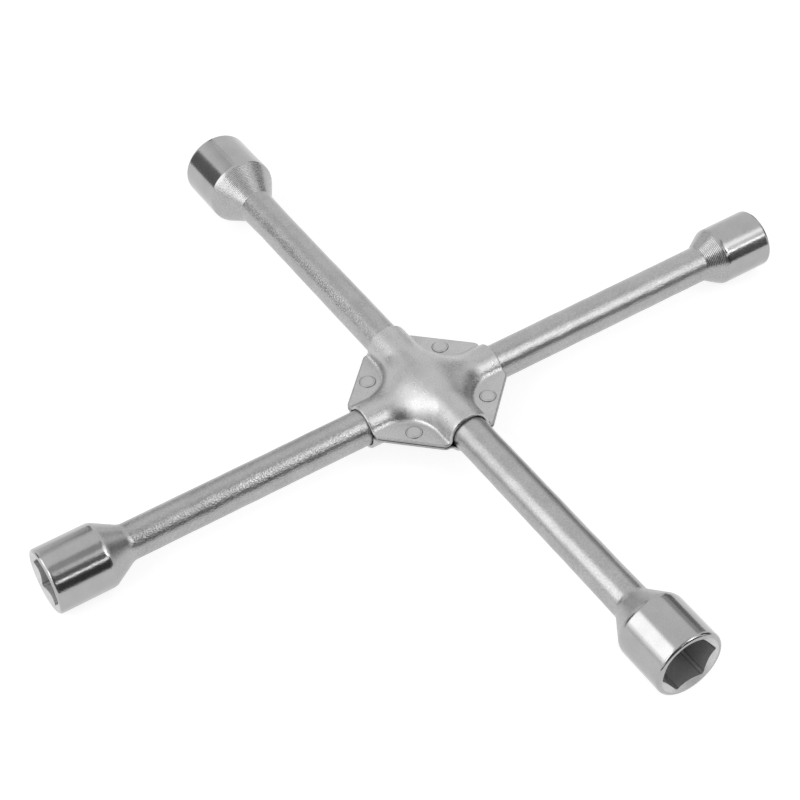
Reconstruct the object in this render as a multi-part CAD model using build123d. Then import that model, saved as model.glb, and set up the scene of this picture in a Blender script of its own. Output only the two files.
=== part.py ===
"""Cross-pattern lug wrench: two forged bars with a hexagonal socket at each end, nested where they
cross and clamped between two pressed cover plates by four rivets.

Millimetres, +Z up. The origin is the middle of the hub, on the plane where the two plates meet.
The upper bar runs along X (23 mm socket at -X, 21 mm at +X), and the lower bar along Y (19 mm at -Y,
17 mm at +Y).
"""
from build123d import *
import os
from math import radians, sqrt, tan

# ---- Bars
bar_dia = 15.5              # round bar, as forged
axis_rise = 2.45            # each bar's axis above or below the plane where the plates meet
swell_length = 16.5         # stretch over which a bar thickens towards its socket
nest_clearance = 0.15       # between one bar's flank and the notch that it lies in

# ---- Sockets, alike at all four ends
cone_rounding = 5.0         # radius where the cone meets the bar, and where it meets the barrel
rim_radius = 1.3            # outer edge of the mouth
rim_land = 0.5              # flat ring between that edge and the lead-in
lead_in_angle = 60.0        # slope of the lead-in, from the bar's axis
hex_clearance = 0.25        # added to the nominal size across flats
hex_corner_radius = 0.4
hex_depth = 17.0            # mouth to the end of the flats
stud_bore_margin = 0.3      # radius of the stud bore below half the hexagon's width
stud_bore_length = 7.0      # round bore beyond the flats, up to the drill's cone
drill_half_angle = 59.0

# ---- Cover plates
plate_thickness = 1.5
channel_clearance = 0.2     # between a bar and the channel pressed over it
plate_reach = 32.0          # middle of the hub to each channel's mouth
mouth_lip = 1.95            # flat flange beside a channel, at its mouth
plate_corner_radius = 2.5

# ---- Rivets
rivet_dia = 5.0
rivet_hole_clearance = 0.05
rivet_head_dia = 7.2
rivet_crown_dia = 5.6       # flat top of the head
rivet_head_height = 0.5
rivet_edge_distance = 5.2   # rivet's centre to the flange's outer edge
rivet_seat_margin = 2.3     # rivet's head to the foot of the pressed channels

# ---- Worked out from the sizes above
bar_radius = bar_dia / 2
channel_inner = bar_radius + channel_clearance
channel_outer = channel_inner + plate_thickness
mouth_half_width = channel_outer + mouth_lip
flange_edge = (plate_reach + mouth_half_width) / sqrt(2)
rivet_diagonal = flange_edge - rivet_edge_distance
rivet_offset = rivet_diagonal / sqrt(2)
channel_foot = rivet_diagonal - rivet_head_dia / 2 - rivet_seat_margin
skirt = 2 * bar_dia         # how far the ridges that shape a plate run below it before they are trimmed
corner_blend = (channel_foot - channel_outer * sqrt(2)) / (sqrt(2) - 1)


class Socket:
    """One forged socket: its nominal size, and what differs from the other three.

    neck_reach is the distance from the middle of the hub to the foot of the cone between bar and barrel,
    and cone_angle is that cone's slope, from the bar's axis.
    """

    def __init__(self, size, outside_dia, neck_reach, neck_swell, cone_angle, barrel_length, hex_turn):
        self.across_flats = size + hex_clearance
        self.radius = outside_dia / 2
        self.neck_reach = neck_reach
        self.neck_radius = bar_radius + neck_swell
        self.shoulder = neck_reach + (self.radius - self.neck_radius) / tan(radians(cone_angle))
        self.reach = self.shoulder + barrel_length
        self.hex_turn = hex_turn


socket_17 = Socket(17, 25.5, neck_reach=140.6, neck_swell=0.0, cone_angle=31.5, barrel_length=22.6, hex_turn=0.0)
socket_19 = Socket(19, 27.8, neck_reach=140.8, neck_swell=0.0, cone_angle=29.5, barrel_length=24.5, hex_turn=-7.0)
socket_21 = Socket(21, 29.6, neck_reach=141.0, neck_swell=0.15, cone_angle=32.0, barrel_length=23.6, hex_turn=4.0)
socket_23 = Socket(23, 31.5, neck_reach=143.5, neck_swell=0.35, cone_angle=30.0, barrel_length=24.9, hex_turn=0.0)


def revolved(points):
    """Solid of revolution about X, from an outline of (distance along X, radius)."""
    return revolve(make_face(Polyline(*points, close=True)), Axis.X, 360)


def rounded(face, corners, radius):
    """The face with the named corners rounded."""
    picked = [v for v in face.vertices() if any((Vector(v) - Vector(*c)).length < 0.01 for c in corners)]
    return fillet(picked, radius)


def bar_blank(plus, minus):
    """Outside of one forging along X, centred on its own axis, with its sockets still solid."""
    ends = []
    for socket, side in ((plus, 1), (minus, -1)):
        swell_start = (side * (socket.neck_reach - swell_length), bar_radius)
        neck = (side * socket.neck_reach, socket.neck_radius)
        shoulder = (side * socket.shoulder, socket.radius)
        rim = (side * socket.reach, socket.radius)
        ends.append([swell_start, neck, shoulder, rim, (side * socket.reach, 0)])
    face = make_face(Polyline(*ends[0], *reversed(ends[1]), close=True))
    face = rounded(face, [end[1] for end in ends] + [end[2] for end in ends], cone_rounding)
    face = rounded(face, [end[3] for end in ends], rim_radius)
    return revolve(face, Axis.X, 360)


def socket_hollow(socket):
    """What is cut from a socket, with its mouth at X = 0 and the hub towards -X."""
    corner = socket.across_flats / sqrt(3)
    hexagon = fillet(RegularPolygon(corner, 6, rotation=socket.hex_turn).vertices(), hex_corner_radius)
    flats = extrude(Plane.YZ * hexagon, -hex_depth)
    lead_radius = socket.radius - rim_radius - rim_land
    inner_radius = socket.across_flats / 2
    lead_depth = (lead_radius - inner_radius) / tan(radians(lead_in_angle))
    lead_in = revolved([(0, 0), (0, lead_radius), (-lead_depth, inner_radius), (-lead_depth, 0)])
    bore_radius = inner_radius - stud_bore_margin
    bore_end = hex_depth + stud_bore_length
    tip = bore_end + bore_radius / tan(radians(drill_half_angle))
    stud_bore = revolved([(0, 0), (0, bore_radius), (-bore_end, bore_radius), (-tip, 0)])
    return flats + lead_in + stud_bore


def bar(plus, minus):
    """One forging along X: the blank with both its sockets hollowed."""
    at_plus = Pos(plus.reach, 0, 0) * socket_hollow(plus)
    at_minus = Pos(-minus.reach, 0, 0) * Rot(0, 0, 180) * socket_hollow(minus)
    return bar_blank(plus, minus) - at_plus - at_minus


def nest_notch(side):
    """What one bar gives up to the other: its half of the crossing, below (-1) or above (1) Z = 0."""
    half_width = bar_radius + nest_clearance
    return Pos(0, 0, side * bar_dia / 2) * Box(2 * half_width, 2 * bar_dia, bar_dia)


def upper_bar():
    return Pos(0, 0, axis_rise) * bar(socket_21, socket_23) - nest_notch(-1)


def lower_bar():
    return Rot(0, 0, 90) * (Pos(0, 0, -axis_rise) * bar(socket_17, socket_19) - nest_notch(1))


def channel(radius, lift):
    """A ridge along X: round on top about its axis at Z = lift, with upright flanks down to Z = -skirt."""
    flanks = Pos(0, (lift - skirt) / 2) * Rectangle(2 * radius, lift + skirt)
    return extrude(Plane.YZ * (Pos(0, lift) * Circle(radius) + flanks), plate_reach + bar_dia, both=True)


def saddle(radius, blend):
    """Two crossing ridges, the higher along X, with every inner corner rounded from crest to foot."""
    ridges = channel(radius, axis_rise) + Rot(0, 0, 90) * channel(radius, -axis_rise)
    span = radius + 0.1
    inner = [e for e in ridges.edges() if abs(e.center().X) < span and abs(e.center().Y) < span]
    return fillet(inner, blend)


def plate_outline():
    """Plan of a plate: a square across the channels' mouths, with its corners cut at 45 degrees."""
    r = plate_reach
    m = mouth_half_width
    points = [(r, -m), (r, m), (m, r), (-m, r), (-r, m), (-r, -m), (-m, -r), (m, -r)]
    return fillet(make_face(Polyline(*points, close=True)).vertices(), plate_corner_radius)


def rivet_places():
    return [Pos(x * rivet_offset, y * rivet_offset, 0) for x, y in ((-1, 1), (-1, -1), (1, -1), (1, 1))]


def cover_plate():
    """The upper plate: its deep channels lie along X, and its flanges' undersides at Z = 0."""
    outline = plate_outline()
    body = saddle(channel_outer, corner_blend) & extrude(outline, 2 * bar_dia)
    body = body + extrude(outline, plate_thickness)
    body = body - saddle(channel_inner, corner_blend + plate_thickness)
    for place in rivet_places():
        body = body - place * Cylinder(rivet_dia / 2 + rivet_hole_clearance, 4 * plate_thickness)
    return body


def rivet():
    """A closed rivet with its shank on Z, and a low head on each plate."""
    half = []
    for side in (1, -1):
        seat = side * plate_thickness
        crown = side * (plate_thickness + rivet_head_height)
        half.append([(seat, rivet_dia / 2), (seat, rivet_head_dia / 2), (crown, rivet_crown_dia / 2), (crown, 0)])
    return Rot(0, -90, 0) * revolved(half[0] + list(reversed(half[1])))


def build():
    """Every piece of the wrench, by name."""
    plate = cover_plate()
    pieces = {
        "bar_23_21": upper_bar(),
        "bar_19_17": lower_bar(),
        "top_plate": plate,
        "bottom_plate": Rot(0, 0, 90) * Rot(180, 0, 0) * plate,
    }
    for name, place in zip(("rivet_23_17", "rivet_23_19", "rivet_21_19", "rivet_21_17"), rivet_places()):
        pieces[name] = place * rivet()
    return pieces


os.makedirs("parts", exist_ok=True)
for name, piece in build().items():
    export_step(piece, f"parts/{name}.step")
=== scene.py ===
"""Looks of a cross-pattern lug wrench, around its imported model.

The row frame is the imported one: X along the upper bar (23 mm socket at -X, 21 mm at +X), Y along the
lower bar (19 mm at -Y, 17 mm at +Y), +Z up, and the origin in the middle of the hub. The object's sizes
are in millimetres, as on a drawing, and meshes are turned into metres where they are made. Grains, rings
and the studio's distances are in metres.
"""
from collections import namedtuple
from math import cos, pi, radians, sin, sqrt, tan

import bpy
import numpy as np
from mathutils import Matrix, Vector


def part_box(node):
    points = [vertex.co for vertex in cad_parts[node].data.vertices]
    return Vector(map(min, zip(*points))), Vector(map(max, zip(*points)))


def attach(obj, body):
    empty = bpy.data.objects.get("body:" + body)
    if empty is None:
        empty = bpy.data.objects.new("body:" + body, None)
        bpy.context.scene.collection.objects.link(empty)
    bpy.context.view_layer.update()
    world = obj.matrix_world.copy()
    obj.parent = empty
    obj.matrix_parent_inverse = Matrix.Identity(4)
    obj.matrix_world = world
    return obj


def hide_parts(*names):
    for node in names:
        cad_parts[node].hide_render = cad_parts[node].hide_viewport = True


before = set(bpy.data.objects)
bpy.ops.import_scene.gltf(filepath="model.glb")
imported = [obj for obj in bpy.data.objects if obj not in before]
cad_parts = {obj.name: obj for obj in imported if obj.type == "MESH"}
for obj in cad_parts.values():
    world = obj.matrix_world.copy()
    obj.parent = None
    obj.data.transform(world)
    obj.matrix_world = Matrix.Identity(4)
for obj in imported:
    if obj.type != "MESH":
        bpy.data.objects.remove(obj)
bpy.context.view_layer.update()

MM = 0.001

# ---- Bars (mm, degrees)
BAR_RADIUS = 7.75
AXIS_RISE = 2.45             # each bar's axis above or below the plane where the plates meet
SWELL_LENGTH = 16.5          # stretch over which a bar thickens towards its socket
NOTCH_HALF_WIDTH = 7.9
NOTCH_WALL = 0.02            # along the bar, from the notch's floor to the full round
FORGED_END = 136.0           # where the uneven skin has faded out, short of the socket's cone
FADE = 6.0                   # stretch over which it fades, there and at the plates
WAVES = 24                   # of the uneven skin
MOST_TURNS = 6               # most periods of a wave round the bar
STEEPEST_WAVE = 0.55         # radians per millimetre along the bar
WAVE_HEIGHT = 0.03

# ---- Sockets (mm, degrees)
SHOULDER_ROUNDING = 5.0
RIM_RADIUS = 1.3
RIM_LAND = 0.5
LEAD_IN_ANGLE = 60.0
HEX_CORNER_CUT = 0.25        # how far a hexagon's rounded corners are pulled in
HEX_CLEARANCE = 0.25
HEX_DEPTH = 17.0
STUD_BORE_MARGIN = 0.3
STUD_BORE_LENGTH = 7.0
DRILL_HALF_ANGLE = 59.0
CORNER_LINE = 3.75           # degrees round the bar, from a hexagon's corner to the line of painted shade beside it
CORNER_LINE_HALF_WIDTH = 1.0  # degrees
SHADE_LINE_FREE_MOUTH = 1.0            # the painted shade lines stop this far from the mouth, behind the lead-in

# A line between a socket's outer and inner skins tells their faces apart. It starts at the cone's foot, on
# the bar's axis. At the shoulder it is SHOULDER_DEPTH below the barrel's skin, and from DEPTH_CHANGE
# farther on it is BARREL_DEPTH below.
SHOULDER_DEPTH = 4.0
DEPTH_CHANGE = 3.0
BARREL_DEPTH = 0.5
INNER_START = 2.0            # the inner skin starts farther than this from the cone's foot
LAND_MARGIN = 0.01           # so that the lead-in's own edge counts as inside

# radius: outside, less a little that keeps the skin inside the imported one. neck: middle of the hub to
# the cone's foot, where the bar has swollen by swell, and the turned cone starts lower by step.
Socket = namedtuple("Socket", "radius barrel neck swell hex_turn neck_rounding step turned")
SKIN_MARGIN = 0.012
SOCKETS = {
    17: Socket(12.75 - SKIN_MARGIN, 22.6, 140.6, 0.0, 0.0, 1.5, 0.0, True),
    19: Socket(13.9 - SKIN_MARGIN, 24.5, 140.8, 0.0, -7.0, 6.0, 0.0, False),
    21: Socket(14.8 - SKIN_MARGIN, 23.6, 141.0, 0.15, 4.0, 5.0, 0.0, False),
    23: Socket(15.75 - SKIN_MARGIN, 24.9, 143.5, 0.35, 0.0, 0.4, 0.12, True),
}

# plus and minus: the sockets at the axis's two ends. The grains are heights in metres, and smooth_share is
# how much of forged_grain is left at the plus end.
Bar = namedtuple("Bar", ["piece", "axis", "plus", "minus", "rise", "seed",
                         "forged_grain", "smooth_share", "polished_grain", "ground_grain"])
BARS = {
    "bar_23_21": Bar("upper_forging", 0, 21, 23, AXIS_RISE, 3, 0.000115, 0.35, 0.00001, 0.00002),
    "bar_19_17": Bar("lower_forging", 1, 17, 19, -AXIS_RISE, 5, 0.00014, 0.8, 0.00003, 0.00006),
}

SEGMENTS = 144               # round a bar: a multiple of six, so that the hexagons' corners are in it
PATH_STEP = 0.6              # between rings along a bar's outside
ARC_FINENESS = 2             # how many times closer the rings are where a corner is rounded
FEWEST_ARC_STEPS = 3
NOTCH_RINGS = 12
LEAD_IN_RINGS = 6
HEX_RINGS = 14
STUD_BORE_RINGS = 6
DRILL_RINGS = 6

# ---- Cover plates (mm)
PLATE_THICKNESS = 1.5
CHANNEL_RADIUS = 9.45        # outside of the channels
PLATE_REACH = 32.0
MOUTH_HALF_WIDTH = 11.4
PLATE_CORNER_RADIUS = 2.5
FOOT_BLEND = 15.03           # radius of the web between two arms, near the flange
CREST_BLEND = 13.5           # and over the crossing
FOOT_LEVEL = 2.0
CREST_LEVEL = 10.0
DOME_ROOM = 2.4              # room for the web over the crossing, above the upper channel
CREASE_RADIUS = 1.4          # press radius between channel and flange, on the outside
PLATE_EDGE_RADIUS = 0.6
SHEARED_EDGE = 0.45          # how far in from the outline a sheared edge's faces go
SEAM_HALF_HEIGHT = 0.3       # of the near-black painted shade along the seam where the two plates' edges meet

PLATE_PITCH = 0.345          # of the grid that a plate's mesh comes from
GRID_MARGIN = 0.8
GRID_BOTTOM = -0.7
SETTLING_ROUNDS = 3          # in which the mesh's points move onto the skin
PROBE = 0.02                 # either side of a point, where the field's slope is measured
LEAST_SLOPE_SQUARED = 0.25
LONGEST_MOVE = 0.3           # of a point in one round, where the slope is 1

# ---- Rivets (mm)
RIVET_OFFSET = 18.0
RIVET_HOLE_RADIUS = 2.55
RIVET_CLEARANCE = 0.05
RIVET_HEAD_RADIUS = 3.6
RIVET_RIM_RADIUS = 3.3       # top of the head's outer slope
RIVET_RIM_HEIGHT = 0.3
RIVET_CROWN_RADIUS = 2.65    # flat middle of the head, a small step above its rim
RIVET_CROWN_STEP = 0.1       # height of that step
RIVET_STEP_WIDTH = 0.2
RIVET_STEP_MARGIN = 0.02     # either side of the step, so that its roundings count as part of it
RIVET_HEAD_HEIGHT = 0.5
RIVET_DIMPLE = 0.03          # how far the crown sinks from its edge to a ring round its middle
RIVET_DIMPLE_RADIUS = 0.4    # that ring's radius
RIVET_SHANK_RING = 0.5       # from a head's seat in to the nearest ring of the shank's skin
RIVET_SEGMENTS = 48
RIVET_PATH_STEP = 0.1

RIVETS = {
    "rivet_23_17": (-RIVET_OFFSET, RIVET_OFFSET),
    "rivet_23_19": (-RIVET_OFFSET, -RIVET_OFFSET),
    "rivet_21_19": (RIVET_OFFSET, -RIVET_OFFSET),
    "rivet_21_17": (RIVET_OFFSET, RIVET_OFFSET),
}


# ---- Meshes
SHARP_EDGE = 30.0            # degrees: where two faces turn by more, the edge between them stays sharp


def mesh_object(name, points_mm, faces):
    """A mesh object in the row frame, from points in millimetres, smooth but for its sharp edges."""
    mesh = bpy.data.meshes.new(name)
    mesh.from_pydata((np.asarray(points_mm) * MM).tolist(), [], [list(f) for f in faces])
    mesh.shade_smooth()
    mesh.set_sharp_from_angle(angle=radians(SHARP_EDGE))
    mesh.validate()
    obj = bpy.data.objects.new(name, mesh)
    bpy.context.scene.collection.objects.link(obj)
    return obj


def quarter_turn(points, side=1):
    """Points turned by 90 degrees about Z, or back where side is -1."""
    return np.stack([-side * points[:, 1], side * points[:, 0], points[:, 2]], axis=1)


def corner_arc(corner, before, after, radius, step):
    """Points of the arc that rounds a corner, from its side towards before to its side towards after."""
    before = (before - corner) / np.linalg.norm(before - corner)
    after = (after - corner) / np.linalg.norm(after - corner)
    half = np.arccos(np.clip(before @ after, -1, 1)) / 2
    cut = radius / tan(half)
    centre = corner + (before + after) / np.linalg.norm(before + after) * radius / sin(half)
    first = corner + before * cut - centre
    last = corner + after * cut - centre
    turn = pi - 2 * half
    steps = max(FEWEST_ARC_STEPS, int(np.ceil(turn * radius / step * ARC_FINENESS)))
    return [centre + (sin((1 - t) * turn) * first + sin(t * turn) * last) / sin(turn)
            for t in np.linspace(0, 1, steps + 1)]


def rounded_path(corners, radii, step):
    """Points about step apart along a path of (distance, radius) corners, rounded with the given radii."""
    corners = [np.array(c, float) for c in corners]
    path = [corners[0]]
    for i in range(1, len(corners)):
        arc = [corners[i]]
        if i < len(corners) - 1 and radii[i] > 0:
            arc = corner_arc(corners[i], corners[i - 1], corners[i + 1], radii[i], step)
        start, end = path[-1], arc[0]
        count = max(1, int(np.ceil(np.linalg.norm(end - start) / step)))
        path += [start + (end - start) * t for t in np.linspace(0, 1, count + 1)[1:]]
        path += arc[1:]
    return np.array(path)


def skin_faces(ring_count, around):
    """Faces of a closed skin: a band between each two rings of points, and a fan from each end to its tip.

    The tips are the two points after the rings: the first ring's, then the last ring's.
    """
    k = np.arange(around)
    following = (k + 1) % around
    last = (ring_count - 1) * around
    faces = []
    for a in range(0, last, around):
        b = a + around
        faces += np.stack([a + k, a + following, b + following, b + k], axis=1).tolist()
    pairs = list(zip(k.tolist(), following.tolist()))
    tip = ring_count * around
    faces += [(q, p, tip) for p, q in pairs]
    faces += [(last + p, last + q, tip + 1) for p, q in pairs]
    return faces


# ---- Forgings
def reach_of(node, axis, side):
    """How far a bar's box goes from the hub, in millimetres."""
    low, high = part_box(node)
    return (high if side > 0 else -low)[axis] / MM


def waviness(along, around, seed):
    """A forging's uneven skin: a sum of slow random waves, periodic around the bar."""
    rng = np.random.default_rng(seed)
    height = np.zeros(along.shape)
    for _ in range(WAVES):
        turns = rng.integers(0, MOST_TURNS + 1)
        per_mm = rng.uniform(-STEEPEST_WAVE, STEEPEST_WAVE)
        height += np.cos(per_mm * along + turns * around + rng.uniform(0, 2 * pi))
    return WAVE_HEIGHT * height / sqrt(WAVES)


def forged_share(x):
    """1 where a bar's skin is uneven, and 0 under the plates and from the sockets' cones on."""
    return np.clip((FORGED_END - np.abs(x)) / FADE, 0, 1) * np.clip((np.abs(x) - PLATE_REACH) / FADE, 0, 1)


def socket_outside(socket, reach):
    """Outside of one half of a bar, from the notch to the lead-in's edge, as (distance, radius)."""
    start = (NOTCH_HALF_WIDTH + NOTCH_WALL, BAR_RADIUS)
    swell_start = (socket.neck - SWELL_LENGTH, BAR_RADIUS)
    neck_radius = BAR_RADIUS + socket.swell
    cone_foot = (socket.neck, neck_radius - socket.step)
    shoulder = (reach - socket.barrel, socket.radius)
    mouth = [(reach, socket.radius), (reach, socket.radius - RIM_RADIUS - RIM_LAND)]
    roundings = [0, socket.neck_rounding, SHOULDER_ROUNDING, RIM_RADIUS, 0]
    if socket.step == 0:
        return rounded_path([start, swell_start, cone_foot, shoulder] + mouth, [0] + roundings, PATH_STEP)
    step_top = (socket.neck - 2 * socket.step, neck_radius)
    step_foot = (socket.neck - socket.step, neck_radius - socket.step)
    bar_skin = rounded_path([start, swell_start, step_top], [0, 0, 0], PATH_STEP)
    return np.vstack([bar_skin, rounded_path([step_foot, cone_foot, shoulder] + mouth, roundings, PATH_STEP)])


def socket_rings(size, reach, side, turn, base):
    """Rings from the hub's side out to the mouth and in to the drill's cone, and where that cone's tip is.

    Each ring is (x, radius, angle) at every segment.
    """
    socket = SOCKETS[size]
    lead_radius = socket.radius - RIM_RADIUS - RIM_LAND
    half_flats = (size + HEX_CLEARANCE) / 2
    from_flat = np.radians((np.degrees(base) % 60) - 30)
    hexagon = np.minimum(half_flats / np.cos(from_flat), half_flats / cos(pi / 6) - HEX_CORNER_CUT)
    bore = half_flats - STUD_BORE_MARGIN
    ones = np.ones(SEGMENTS)
    rings = [(x * ones, r * ones) for x, r in socket_outside(socket, reach)]
    lead_depth = (lead_radius - hexagon) / tan(radians(LEAD_IN_ANGLE))
    for t in np.linspace(0, 1, LEAD_IN_RINGS + 1)[1:]:
        rings.append((reach - t * lead_depth, lead_radius + t * (hexagon - lead_radius)))
    for t in np.linspace(0, 1, HEX_RINGS + 1)[1:]:
        rings.append((reach - lead_depth - t * (HEX_DEPTH - lead_depth), hexagon))
    for t in np.linspace(0, 1, STUD_BORE_RINGS):
        rings.append((reach - (HEX_DEPTH + t * STUD_BORE_LENGTH) * ones, bore * ones))
    bore_end = HEX_DEPTH + STUD_BORE_LENGTH
    drill = bore / tan(radians(DRILL_HALF_ANGLE))
    for t in np.linspace(0, 1, DRILL_RINGS + 2)[1:-1]:
        rings.append((reach - (bore_end + t * drill) * ones, bore * (1 - t) * ones))
    angle = base + radians(turn)
    return [(side * x, r, angle) for x, r in rings], side * (reach - bore_end - drill)


def forging(node, bar):
    """A bar with a socket at each end, as one closed skin of rings: its points and faces."""
    base = np.arange(SEGMENTS) * 2 * pi / SEGMENTS
    ones = np.ones(SEGMENTS)
    plus_turn = SOCKETS[bar.plus].hex_turn
    minus_turn = -SOCKETS[bar.minus].hex_turn
    right, right_tip = socket_rings(bar.plus, reach_of(node, bar.axis, 1), 1, plus_turn, base)
    left, left_tip = socket_rings(bar.minus, reach_of(node, bar.axis, -1), -1, minus_turn, base)
    middle = base + radians((plus_turn + minus_turn) / 2)
    notch = [(x * ones, BAR_RADIUS * ones, middle)
             for x in np.linspace(-NOTCH_HALF_WIDTH, NOTCH_HALF_WIDTH, NOTCH_RINGS)]
    rings = left[::-1] + notch + right
    x, radius, angle = [np.array(values) for values in zip(*rings)]
    radius = radius + forged_share(x) * waviness(x, angle, bar.seed)
    z = bar.rise + radius * np.sin(angle)
    notched = np.maximum(z, 0) if bar.rise > 0 else np.minimum(z, 0)
    z = np.where(np.abs(x) < NOTCH_HALF_WIDTH + NOTCH_WALL / 2, notched, z)
    points = np.stack([x, radius * np.cos(angle), z], axis=-1).reshape(-1, 3)
    points = np.vstack([points, [(left_tip, 0, bar.rise), (right_tip, 0, bar.rise)]])
    if bar.axis == 1:
        points = quarter_turn(points)
    return points, skin_faces(len(rings), SEGMENTS)


# ---- Cover plates: the skin of a field of signed distances, negative inside
def ridge(across, z, lift):
    """Signed distance to a ridge: round above its axis, upright below it."""
    return np.where(z > lift, np.hypot(across, z - lift), np.abs(across)) - CHANNEL_RADIUS


def round_union(a, b, radius):
    """Signed distance to two shapes together, with the corner between them filled to the radius."""
    u = np.maximum(radius - a, 0)
    v = np.maximum(radius - b, 0)
    return np.maximum(radius, np.minimum(a, b)) - np.hypot(u, v)


def round_cut(a, b, radius):
    """Signed distance to what two shapes share, with its outer edge rounded to the radius."""
    u = np.maximum(radius + a, 0)
    v = np.maximum(radius + b, 0)
    return np.minimum(-radius, np.maximum(a, b)) + np.hypot(u, v)


def saddle(points):
    """Signed distance to the two crossing ridges, webbed together between the arms."""
    x, y, z = points.T
    along_x = ridge(y, z, AXIS_RISE)
    along_y = ridge(x, z, -AXIS_RISE)
    blend = np.interp(z, (FOOT_LEVEL, CREST_LEVEL), (FOOT_BLEND, CREST_BLEND))
    return round_union(along_x, along_y, blend)


def distance_to_segment(x, y, p, q):
    """Distance in plan from points (x, y) to the line between the corners p and q."""
    dx, dy = q[0] - p[0], q[1] - p[1]
    t = np.clip(((x - p[0]) * dx + (y - p[1]) * dy) / (dx * dx + dy * dy), 0, 1)
    return np.hypot(x - p[0] - t * dx, y - p[1] - t * dy)


def plate_outline(points):
    """Signed distance to the plan of a plate: an octagon with rounded corners."""
    x, y = np.abs(points[:, 0]), np.abs(points[:, 1])
    end = PLATE_REACH - PLATE_CORNER_RADIUS
    diagonal = (PLATE_REACH + MOUTH_HALF_WIDTH) / sqrt(2) - PLATE_CORNER_RADIUS
    corner = diagonal * sqrt(2) - end
    inside = np.maximum(np.maximum(x - end, y - end), (x + y) / sqrt(2) - diagonal)
    cut = distance_to_segment(x, y, (end, corner), (corner, end))
    x_mouth = distance_to_segment(x, y, (end, 0), (end, corner))
    y_mouth = distance_to_segment(x, y, (corner, end), (0, end))
    outside = np.minimum(cut, np.minimum(x_mouth, y_mouth))
    return np.where(inside < 0, inside, outside) - PLATE_CORNER_RADIUS


def plate_field(points):
    """Signed distance, close enough near its skin, to the upper cover plate."""
    outer = round_union(saddle(points), points[:, 2] - PLATE_THICKNESS, CREASE_RADIUS)
    shell = np.maximum(outer, -(outer + PLATE_THICKNESS))
    trimmed = round_cut(shell, plate_outline(points), PLATE_EDGE_RADIUS)
    x, y = np.abs(points[:, 0]) - RIVET_OFFSET, np.abs(points[:, 1]) - RIVET_OFFSET
    return np.maximum(trimmed, RIVET_HOLE_RADIUS - np.hypot(x, y))


def edge_ends(axis, across=slice(None)):
    """The lower and the upper ends of the grid's edges along an axis, as indices into the grid."""
    lower, upper = [across] * 3, [across] * 3
    lower[axis] = slice(0, -1)
    upper[axis] = slice(1, None)
    return tuple(lower), tuple(upper)


def cell_windows(axis, cells):
    """Each cell's four edges along an axis, as four indices into the grid's edges."""
    others = [i for i in range(3) if i != axis]
    for shifts in ((0, 0), (0, 1), (1, 0), (1, 1)):
        window = [slice(None)] * 3
        for other, shift in zip(others, shifts):
            window[other] = slice(shift, shift + cells[other])
        yield tuple(window)


def net_points(grid, values, pitch):
    """One point in each cell that the skin crosses, and which cells those are.

    The point is the mean of the places where the skin crosses the cell's edges.
    """
    cells = tuple(n - 1 for n in values.shape)
    total = np.zeros(cells + (3,))
    count = np.zeros(cells)
    for axis in range(3):
        lower, upper = edge_ends(axis)
        crossed = (values[lower] < 0) != (values[upper] < 0)
        gap = values[lower] - values[upper]
        t = np.where(crossed, values[lower] / np.where(crossed, gap, 1), 0)
        place = grid[lower].copy()
        place[..., axis] += t * pitch
        for window in cell_windows(axis, cells):
            total += np.where(crossed[window][..., None], place[window], 0)
            count += crossed[window]
    used = count > 0
    return total[used] / count[used][:, None], used


def net_faces(inside, index, axis):
    """A face across each crossed edge along an axis, joining the points of the four cells round it."""
    lower, upper = edge_ends(axis, slice(1, -1))
    crossed = inside[lower] != inside[upper]
    where = np.argwhere(crossed)
    others = [i for i in range(3) if i != axis]
    where[:, others] += 1
    a, b = others if axis != 1 else others[::-1]    # a, b and the axis are right-handed
    corners = []
    for da, db in ((-1, -1), (0, -1), (0, 0), (-1, 0)):
        cell = where.copy()
        cell[:, a] += da
        cell[:, b] += db
        corners.append(index[tuple(cell.T)])
    quads = np.stack(corners, axis=1)
    flip = ~inside[lower][crossed]
    quads[flip] = quads[flip][:, ::-1]
    return quads


def surface_net(field, low, high, pitch):
    """Mesh of the skin of field < 0, from a grid between two corners."""
    axes = [np.arange(a, b + pitch, pitch) for a, b in zip(low, high)]
    grid = np.stack(np.meshgrid(*axes, indexing="ij"), axis=-1)
    values = field(grid.reshape(-1, 3)).reshape(grid.shape[:3])
    points, used = net_points(grid, values, pitch)
    index = np.full(used.shape, -1)
    index[used] = np.arange(used.sum())
    return points, np.vstack([net_faces(values < 0, index, axis) for axis in range(3)])


def settle(points, field):
    """Points moved onto the skin of the field."""
    for _ in range(SETTLING_ROUNDS):
        slope = np.empty_like(points)
        for axis in range(3):
            step = np.zeros(3)
            step[axis] = PROBE
            slope[:, axis] = (field(points + step) - field(points - step)) / (2 * PROBE)
        squared = np.maximum(np.einsum("ij,ij->i", slope, slope), LEAST_SLOPE_SQUARED)
        points = points - slope * np.clip(field(points) / squared, -LONGEST_MOVE, LONGEST_MOVE)[:, None]
    return points


def cover_plate_mesh():
    """The upper cover plate: its points and faces."""
    pitch = PLATE_PITCH
    side = PLATE_REACH + GRID_MARGIN
    top = AXIS_RISE + CHANNEL_RADIUS + DOME_ROOM + GRID_MARGIN
    points, faces = surface_net(plate_field, (-side, -side, GRID_BOTTOM), (side, side, top), pitch)
    return settle(points, plate_field), faces


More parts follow.
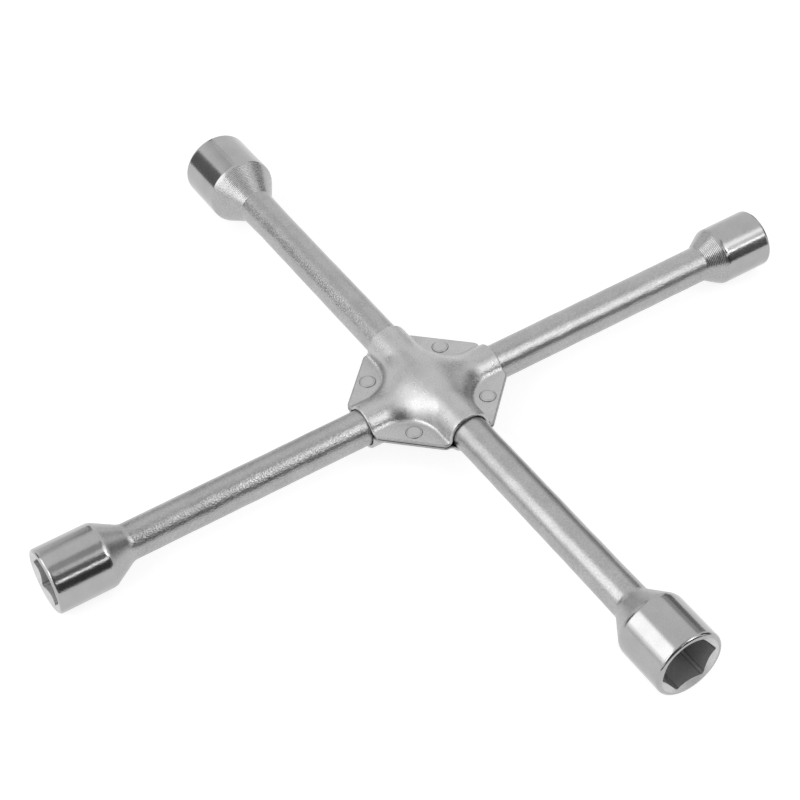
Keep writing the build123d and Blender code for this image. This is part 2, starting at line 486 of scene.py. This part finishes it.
# ---- Rivets
def rivet_outline():
    """Upper half of a rivet, from inside the plate to the middle of its crown, as (height, radius)."""
    seat = PLATE_THICKNESS
    crown = seat + RIVET_HEAD_HEIGHT
    shank = RIVET_HOLE_RADIUS - RIVET_CLEARANCE
    corners_and_roundings = [
        ((seat - RIVET_SHANK_RING, shank), 0),
        ((seat, shank), 0),
        ((seat, RIVET_HEAD_RADIUS), 0),
        ((seat + RIVET_RIM_HEIGHT, RIVET_RIM_RADIUS), 0.1),
        ((crown - RIVET_CROWN_STEP, RIVET_CROWN_RADIUS + RIVET_STEP_WIDTH), 0.06),
        ((crown, RIVET_CROWN_RADIUS), 0.08),
        ((crown - RIVET_DIMPLE, RIVET_DIMPLE_RADIUS), 0),
    ]
    corners, roundings = zip(*corners_and_roundings)
    return rounded_path(corners, roundings, RIVET_PATH_STEP)


def rivet_mesh(place):
    """A closed rivet upright at (x, y), as rings: its points and faces."""
    x, y = place
    crown = PLATE_THICKNESS + RIVET_HEAD_HEIGHT
    half = rivet_outline()
    angle = np.arange(RIVET_SEGMENTS) * 2 * pi / RIVET_SEGMENTS
    rings = [(-z, r) for z, r in half[::-1]] + [(z, r) for z, r in half]
    points = [np.stack([x + r * np.cos(angle), y + r * np.sin(angle), np.full(RIVET_SEGMENTS, z)], axis=1)
              for z, r in rings]
    points = np.vstack(points + [[(x, y, -crown), (x, y, crown)]])
    return points, skin_faces(len(rings), RIVET_SEGMENTS)


# ---- Pieces
def place_piece(obj, node):
    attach(obj, "root")
    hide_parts(node)
    return obj


def build_pieces():
    """Every piece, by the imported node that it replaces."""
    pieces = {}
    for node, bar in BARS.items():
        points, faces = forging(node, bar)
        pieces[node] = place_piece(mesh_object(bar.piece, points, faces), node)
    points, faces = cover_plate_mesh()
    upper = mesh_object("upper_pressing", points, faces)
    pieces["top_plate"] = place_piece(upper, "top_plate")
    turned_over = np.stack([points[:, 1], points[:, 0], -points[:, 2]], axis=1)
    lower = mesh_object("lower_pressing", turned_over, faces)
    pieces["bottom_plate"] = place_piece(lower, "bottom_plate")
    for node, place in RIVETS.items():
        points, faces = rivet_mesh(place)
        pieces[node] = place_piece(mesh_object("closed_" + node, points, faces), node)
    return pieces


# ---- Camera: the photograph's viewing angle, for a square picture (mm, degrees)
CAMERA_PLACE = (534.77, -312.55, 613.4)
CAMERA_AIM = (-2.326, -12.015, 0.0)
CAMERA_ROLL = -4.368
CAMERA_LENS = 94.748
SENSOR_WIDTH = 36.0
FARTHEST_SEEN = 20.0         # metres


def add_camera():
    data = bpy.data.cameras.new("camera")
    data.sensor_width = SENSOR_WIDTH
    data.lens = CAMERA_LENS
    data.clip_end = FARTHEST_SEEN
    camera = bpy.data.objects.new("camera", data)
    place = Vector(CAMERA_PLACE) * MM
    aim = Vector(CAMERA_AIM) * MM
    turn = (aim - place).to_track_quat("-Z", "Y").to_matrix() @ Matrix.Rotation(radians(CAMERA_ROLL), 3, "Z")
    camera.matrix_world = Matrix.Translation(place) @ turn.to_4x4()
    bpy.context.scene.collection.objects.link(camera)
    bpy.context.scene.camera = camera


# ---- Node trees
def add(tree, kind, inputs=None, **settings):
    """A node with its settings and inputs, each a value or another node's output."""
    node = tree.nodes.new(kind)
    for key, value in settings.items():
        setattr(node, key, value)
    for key, value in (inputs or {}).items():
        if isinstance(value, bpy.types.NodeSocket):
            tree.links.new(value, node.inputs[key])
        else:
            node.inputs[key].default_value = value
    return node


def math_node(tree, operation, a, b=0.0, clamp=False):
    return add(tree, "ShaderNodeMath", {0: a, 1: b}, operation=operation, use_clamp=clamp).outputs[0]


def noise(tree, place, per_metre, detail):
    """Noise about 0.5, with features about 1 / per_metre wide."""
    inputs = {"Vector": place, "Scale": per_metre, "Detail": detail, "Roughness": 0.5}
    return add(tree, "ShaderNodeTexNoise", inputs).outputs["Fac"]


def spread(tree, value, low, high, to_low, to_high):
    """The value's range from low to high stretched over to_low to to_high."""
    inputs = {"Value": value, "From Min": low, "From Max": high, "To Min": to_low, "To Max": to_high}
    return add(tree, "ShaderNodeMapRange", inputs).outputs["Result"]


def spread_noise(tree, value, low, high):
    """A noise's usual range stretched over low to high."""
    return spread(tree, value, 0.3, 0.7, low, high)


def bumped(tree, height, distance, under=None):
    """The surface's normal, or the one under it, tilted by a height."""
    inputs = {"Height": height, "Distance": distance, "Strength": 1.0}
    if under is not None:
        inputs["Normal"] = under
    return add(tree, "ShaderNodeBump", inputs).outputs["Normal"]


def cleared_material(name):
    material = bpy.data.materials.new(name)
    material.use_nodes = True
    material.node_tree.nodes.clear()
    return material


# ---- Materials: procedural, on the row frame's own coordinates
TARNISH = 0.06               # how much lighter or darker the plating's patches are
PATCHES = 90                 # features per metre of those patches, of the scuffs and of the rings' wobble
SCUFFS = 400
WOBBLES = 300
SCUFF_RANGE = (0.98, 1.1)    # of the roughness
SMOOTHING_REACH = 0.03       # metres either side of the hub, over which the grain gets smoother
RING_PITCH = 0.00064         # turning rings on the cones
RING_HEIGHT = 0.00002
RING_WOBBLE = 0.0006

BAR_GREY = 0.4
# broached steel, lighter than the bars: partly its finish, partly painted light in the hexagon's shaded
# hollow
BROACHED_LIGHTENED_GREY = 0.62
# darker grey for lines beside the hexagons' corners: painted shade of the corners' reliefs
CORNER_SHADE_LINE_GREY = 0.42
PLATE_GREY = 0.485
# darker than the plates: on their sheared edges, and as painted shade on the step round each rivet's crown
DARKER_EDGE_AND_STEP_SHADE_GREY = 0.36
# near black: painted shade in the gap between the two plates
SEAM_SHADE_GREY = 0.08
# dark: painted shade round the foot of each rivet head
RIVET_SLOPE_SHADE_GREY = 0.2
FINE_GRAIN = 0.00003         # height

# Materials of a bar, of a plate and of a rivet, in the order of their zones
FORGED, TURNED, POLISHED, BROACHED, GROUND, CORNER_SHADE_LINE = range(6)
PRESSED, SHEARED, SEAM = range(3)
HEAD, SLOPE, STEP = range(3)


def plated_steel(name, grey, rough, grain, height, mottle=0.04, rings=None, smooth_end=None):
    """Plated steel: grain in features per metre and their height in metres, rings as (axis, pitch, height).

    mottle is how far the grain makes the grey lighter or darker, and smooth_end is (axis, share): the share
    of the grain's height that is left on that axis's positive end.
    """
    material = bpy.data.materials.new(name)
    material.use_nodes = True
    tree = material.node_tree
    shader = tree.nodes["Principled BSDF"]
    shader.inputs["Metallic"].default_value = 1.0
    place = add(tree, "ShaderNodeTexCoord").outputs["Object"]
    fine = noise(tree, place, grain, 1.0)
    shade = spread_noise(tree, noise(tree, place, PATCHES, 3.0), grey * (1 - TARNISH), grey * (1 + TARNISH))
    shade = math_node(tree, "ADD", shade, spread_noise(tree, fine, -mottle, mottle))
    colour = add(tree, "ShaderNodeCombineColor", {0: shade, 1: shade, 2: shade}).outputs[0]
    least, most = SCUFF_RANGE
    roughness = spread_noise(tree, noise(tree, place, SCUFFS, 2.0), rough * least, rough * most)
    if smooth_end:
        height = smoothed(tree, place, height, *smooth_end)
    normal = bumped(tree, fine, height)
    if rings:
        normal = ringed(tree, place, normal, *rings)
    tree.links.new(colour, shader.inputs["Base Color"])
    tree.links.new(roughness, shader.inputs["Roughness"])
    tree.links.new(normal, shader.inputs["Normal"])
    return material


def coordinate(tree, place, axis):
    return add(tree, "ShaderNodeSeparateXYZ", {0: place}).outputs[axis]


def smoothed(tree, place, height, axis, share):
    """A height that falls to a share of itself past the hub, along an axis."""
    along = coordinate(tree, place, axis)
    return spread(tree, along, -SMOOTHING_REACH, SMOOTHING_REACH, height, height * share)


def ringed(tree, place, normal, axis, pitch, height):
    """A normal with turning rings on it, round an axis."""
    wobble = math_node(tree, "MULTIPLY", noise(tree, place, WOBBLES, 1.0), RING_WOBBLE)
    along = math_node(tree, "ADD", coordinate(tree, place, axis), wobble)
    wave = math_node(tree, "SINE", math_node(tree, "MULTIPLY", along, 2 * pi / pitch))
    return bumped(tree, wave, height, normal)


def bar_materials(bar):
    """A bar's materials, in the order of its zones: FORGED, TURNED and so on."""
    end = "xy"[bar.axis]
    smooth_end = (bar.axis, bar.smooth_share)
    rings = (bar.axis, RING_PITCH, RING_HEIGHT)
    return [
        plated_steel("forged_" + end, BAR_GREY, rough=0.28, grain=1500, height=bar.forged_grain,
                     mottle=0.05, smooth_end=smooth_end),
        plated_steel("turned_" + end, BAR_GREY, rough=0.23, grain=1500, height=FINE_GRAIN, rings=rings),
        plated_steel("polished_" + end, BAR_GREY, rough=0.15, grain=1900, height=bar.polished_grain,
                     mottle=0.012),
        # partly painted light: the hexagons' insides are lightened
        plated_steel("broached_lightened_" + end, BROACHED_LIGHTENED_GREY, rough=0.45, grain=1500, height=FINE_GRAIN),
        plated_steel("ground_" + end, BAR_GREY, rough=0.3, grain=1700, height=bar.ground_grain),
        # painted shade: the lines beside the hexagons' corners
        plated_steel("corner_shade_line_" + end, CORNER_SHADE_LINE_GREY, rough=0.45, grain=1500, height=FINE_GRAIN),
    ]


def face_middles(obj):
    """Middle of each of a mesh's faces, in millimetres."""
    middle = np.empty(len(obj.data.polygons) * 3)
    obj.data.polygons.foreach_get("center", middle)
    return middle.reshape(-1, 3) / MM


def inside_socket(socket, there, radius, shoulder):
    """Which faces are on a socket's inner skin, from their distances to the hub and to the bar's axis."""
    between_skins = np.interp(there, [socket.neck, shoulder, shoulder + DEPTH_CHANGE],
                              [0, socket.radius - SHOULDER_DEPTH, socket.radius - BARREL_DEPTH])
    land_edge = socket.radius - RIM_RADIUS - RIM_LAND + LAND_MARGIN
    return (there > socket.neck + INNER_START) & (radius < np.minimum(land_edge, between_skins))


def bar_zones(obj, node, bar):
    """For each of a bar's faces its zone, from where its middle lies along and around the bar."""
    middle = face_middles(obj)
    if bar.axis == 1:
        middle = quarter_turn(middle, -1)
    along, across, up = middle[:, 0], middle[:, 1], middle[:, 2] - bar.rise
    radius = np.hypot(across, up)
    around = np.degrees(np.arctan2(up, across))
    zones = np.full(len(middle), FORGED)
    for size, side in ((bar.plus, 1), (bar.minus, -1)):
        socket = SOCKETS[size]
        reach = reach_of(node, bar.axis, side)
        there = side * along
        shoulder = reach - socket.barrel
        zones[there > socket.neck] = TURNED if socket.turned else GROUND
        zones[there > shoulder] = POLISHED
        inside = inside_socket(socket, there, radius, shoulder)
        zones[inside] = BROACHED
        # painted shade: a darker line beside each hexagon corner, inside, short of the mouth
        from_corner = np.abs((around - side * socket.hex_turn + 30) % 60 - 30)    # one every 60 degrees
        on_line = np.abs(from_corner - CORNER_LINE) < CORNER_LINE_HALF_WIDTH
        in_hexagon = (there > reach - HEX_DEPTH) & (there < reach - SHADE_LINE_FREE_MOUTH)
        zones[inside & on_line & in_hexagon] = CORNER_SHADE_LINE
    return zones


def plate_zones(obj):
    """For each of a plate's faces its zone: the seam is the part of the sheared edge by the other plate."""
    middle = face_middles(obj)
    height = np.abs(middle[:, 2])
    zones = np.full(len(middle), PRESSED)
    edge = (plate_outline(middle) > -SHEARED_EDGE) & (height < PLATE_THICKNESS)
    zones[edge] = SHEARED
    # painted shade along the seam between the plates
    zones[edge & (height < SEAM_HALF_HEIGHT)] = SEAM
    return zones


def rivet_zones(obj, place):
    """For each of a rivet's faces its zone: a head's outer slope, the step round its crown, or the rest."""
    middle = face_middles(obj)
    radius = np.hypot(middle[:, 0] - place[0], middle[:, 1] - place[1])
    height = np.abs(middle[:, 2]) - PLATE_THICKNESS
    zones = np.full(len(middle), HEAD)
    # painted shade: the head's outer slope, dark all round
    zones[(radius > RIVET_RIM_RADIUS) & (height > 0)] = SLOPE
    step_middle = RIVET_CROWN_RADIUS + RIVET_STEP_WIDTH / 2
    on_step = np.abs(radius - step_middle) < RIVET_STEP_WIDTH / 2 + RIVET_STEP_MARGIN
    # painted shade: the step round the crown takes the darker edge grey
    zones[on_step & (height > RIVET_RIM_HEIGHT)] = STEP
    return zones


def paint(obj, materials, zones):
    for material in materials:
        obj.data.materials.append(material)
    obj.data.polygons.foreach_set("material_index", np.asarray(zones, dtype=np.int32))


def dress(pieces):
    """Give every piece its materials."""
    for node, bar in BARS.items():
        paint(pieces[node], bar_materials(bar), bar_zones(pieces[node], node, bar))
    plate = plated_steel("pressed_plate", PLATE_GREY, rough=0.27, grain=2500, height=0.00011)
    # darker plate edges, and painted shade on the rivets' steps
    edge = plated_steel("darker_edge_and_step_shade", DARKER_EDGE_AND_STEP_SHADE_GREY, rough=0.35, grain=2500, height=0.00008)
    # painted shade in the seam
    seam = plated_steel("painted_seam_shade", SEAM_SHADE_GREY, rough=0.5, grain=2500, height=0.00008)
    rivet = plated_steel("rivet_steel", PLATE_GREY, rough=0.3, grain=2500, height=0.00005)
    # painted shade round the rivet heads
    rim = plated_steel("rivet_slope_shade", RIVET_SLOPE_SHADE_GREY, rough=0.4, grain=2500, height=0.00005)
    for node in ("top_plate", "bottom_plate"):
        paint(pieces[node], [plate, edge, seam], plate_zones(pieces[node]))
    for node, place in RIVETS.items():
        paint(pieces[node], [rivet, rim, edge], rivet_zones(pieces[node], place))


# ---- Studio: what surrounds the object, as it looks from the hub (degrees: azimuth from +X towards +Y,
# elevation above the horizon, width and height; then radiance)
SOFT_BOXES = {
    "right_soft_box": (42, 54, 30, 24, 1.1),
    "right_core": (31, 43, 14, 12, 3.0),
    "right_strip": (22, 31, 42, 4, 3.6),
    "left_soft_box": (246, 34, 42, 48, 0.65),
    "left_core": (240, 36, 24, 36, 0.8),
    "front_left_box": (287, 36, 16, 34, 2.5),
}
DARK_CARDS = {
    "camera_side": (345, 27, 64, 56, 0.12),
    "right_low": (11, 11, 17, 36, 0.04),
    "right_middle": (30, 10, 21, 36, 0.1),
    "far_right": (76, 14, 34, 36, 0.1),
    "above_right": (26, 72, 46, 28, 0.5),
    "backdrop_edge_low": (120, 6, 16, 26, 0.2),
    "backdrop_edge_high": (120, 25, 16, 14, 0.5),
    "backdrop_edge_left": (169, 20, 9, 34, 0.3),
    "left_upper": (188, 44, 24, 8, 0.7),
    "left_gap": (219, 13, 20, 40, 0.17),
}
LAMP_DISTANCE = 1.7          # metres
CARD_DISTANCE = 1.8          # behind the lamps, which stay whole in the reflections

FLOOR_HEIGHT = -16.36        # mm, just under the sockets
FLOOR_HALF_SIZE = 6.0        # metres
PAPER_GREY = 0.8
SHADED_GREY = 0.4            # the part of the floor's white, where it is seen directly, that shadows darken
FLOOR_GLOW = 0.78            # and the part that they leave
AMBIENT = 0.5                # the world's strength as light on the paper
BACKDROP = 1.0               # and where it is seen directly, or in metal

# A darker floor shows in reflections, beyond the paper's edge, which bows out in front of the 21 mm
# socket (mm).
PAPER_EDGE = ((230, -400), (230, -100), (330, 50), (230, 200), (230, 1200))
DARK_FLOOR_END = 2000
DARK_FLOOR_HEIGHT = -15.8
DARK_FLOOR_RADIANCE = 0.1


def size_at(distance, degrees):
    """How wide something is that looks this wide from the hub."""
    return 2 * distance * tan(radians(degrees / 2))


def face_hub(obj, azimuth, elevation, distance):
    """Put a lamp or card in this direction from the hub, turned towards it."""
    a, e = radians(azimuth), radians(elevation)
    towards = Vector((cos(e) * cos(a), cos(e) * sin(a), sin(e)))
    obj.location = towards * distance
    obj.rotation_euler = towards.to_track_quat("Z", "Y").to_euler()


def soft_box(name, azimuth, elevation, width, height, radiance):
    """An area lamp that lights the object and shows in its reflections."""
    data = bpy.data.lights.new(name, "AREA")
    data.shape = "RECTANGLE"
    data.size = size_at(LAMP_DISTANCE, width)
    data.size_y = size_at(LAMP_DISTANCE, height)
    data.energy = radiance * data.size * data.size_y * pi
    lamp = bpy.data.objects.new(name, data)
    face_hub(lamp, azimuth, elevation, LAMP_DISTANCE)
    lamp.visible_camera = False
    bpy.context.scene.collection.objects.link(lamp)


def glow(name, radiance):
    material = cleared_material(name)
    tree = material.node_tree
    light = add(tree, "ShaderNodeEmission", {"Color": (1, 1, 1, 1), "Strength": radiance})
    add(tree, "ShaderNodeOutputMaterial", {"Surface": light.outputs[0]})
    return material


def sheet(name, corners, radiance):
    """A flat card, cut to its corners, that only the metal's reflections see."""
    mesh = bpy.data.meshes.new(name)
    mesh.from_pydata(corners, [], [range(len(corners))])
    mesh.materials.append(glow(name, radiance))
    obj = bpy.data.objects.new(name, mesh)
    obj.visible_camera = False
    obj.visible_shadow = False
    obj.visible_diffuse = False
    bpy.context.scene.collection.objects.link(obj)
    return obj


def card(name, azimuth, elevation, width, height, radiance):
    """A sheet facing the hub, dimmer than the white around it."""
    w = size_at(CARD_DISTANCE, width) / 2
    h = size_at(CARD_DISTANCE, height) / 2
    obj = sheet(name, [(-w, -h, 0), (w, -h, 0), (w, h, 0), (-w, h, 0)], radiance)
    face_hub(obj, azimuth, elevation, CARD_DISTANCE)


def lay_dark_floor():
    """A dark sheet just over the floor, from the paper's edge outwards."""
    far_side = ((DARK_FLOOR_END, PAPER_EDGE[-1][1]), (DARK_FLOOR_END, PAPER_EDGE[0][1]))
    corners = [(x * MM, y * MM, DARK_FLOOR_HEIGHT * MM) for x, y in PAPER_EDGE + far_side]
    sheet("dark_floor", corners, DARK_FLOOR_RADIANCE)


def seen_directly(tree):
    """1 for rays from the camera, and for those that metal or glass sends on."""
    path = add(tree, "ShaderNodeLightPath")
    total = math_node(tree, "ADD", path.outputs["Is Camera Ray"], path.outputs["Is Glossy Ray"])
    return math_node(tree, "ADD", total, path.outputs["Is Transmission Ray"], clamp=True)


def make_world():
    world = bpy.data.worlds.new("studio")
    bpy.context.scene.world = world
    world.use_nodes = True
    tree = world.node_tree
    tree.nodes.clear()
    strength = spread(tree, seen_directly(tree), 0, 1, AMBIENT, BACKDROP)
    light = add(tree, "ShaderNodeBackground", {"Color": (1, 1, 1, 1), "Strength": strength})
    add(tree, "ShaderNodeOutputWorld", {"Surface": light.outputs[0]})


def floor_paper():
    """Paper that looks white where it is seen directly, and still shows the object's shadow."""
    material = cleared_material("floor_paper")
    tree = material.node_tree
    paper, shaded = [add(tree, "ShaderNodeBsdfDiffuse", {"Color": (grey, grey, grey, 1)}).outputs[0]
                     for grey in (PAPER_GREY, SHADED_GREY)]
    white = add(tree, "ShaderNodeEmission", {"Color": (1, 1, 1, 1), "Strength": FLOOR_GLOW}).outputs[0]
    bright = add(tree, "ShaderNodeAddShader", {0: shaded, 1: white}).outputs[0]
    mixed = add(tree, "ShaderNodeMixShader", {0: seen_directly(tree), 1: paper, 2: bright}).outputs[0]
    add(tree, "ShaderNodeOutputMaterial", {"Surface": mixed})
    return material


def make_floor():
    mesh = bpy.data.meshes.new("floor")
    s = FLOOR_HALF_SIZE
    z = FLOOR_HEIGHT * MM
    mesh.from_pydata([(-s, -s, z), (s, -s, z), (s, s, z), (-s, s, z)], [], [(0, 1, 2, 3)])
    mesh.materials.append(floor_paper())
    floor = bpy.data.objects.new("floor", mesh)
    bpy.context.scene.collection.objects.link(floor)


def light_studio():
    make_world()
    make_floor()
    for name, values in DARK_CARDS.items():
        card(name, *values)
    lay_dark_floor()
    for name, values in SOFT_BOXES.items():
        soft_box(name, *values)


pieces = build_pieces()
add_camera()
dress(pieces)
light_studio()
bpy.context.scene.view_settings.view_transform = "Standard"
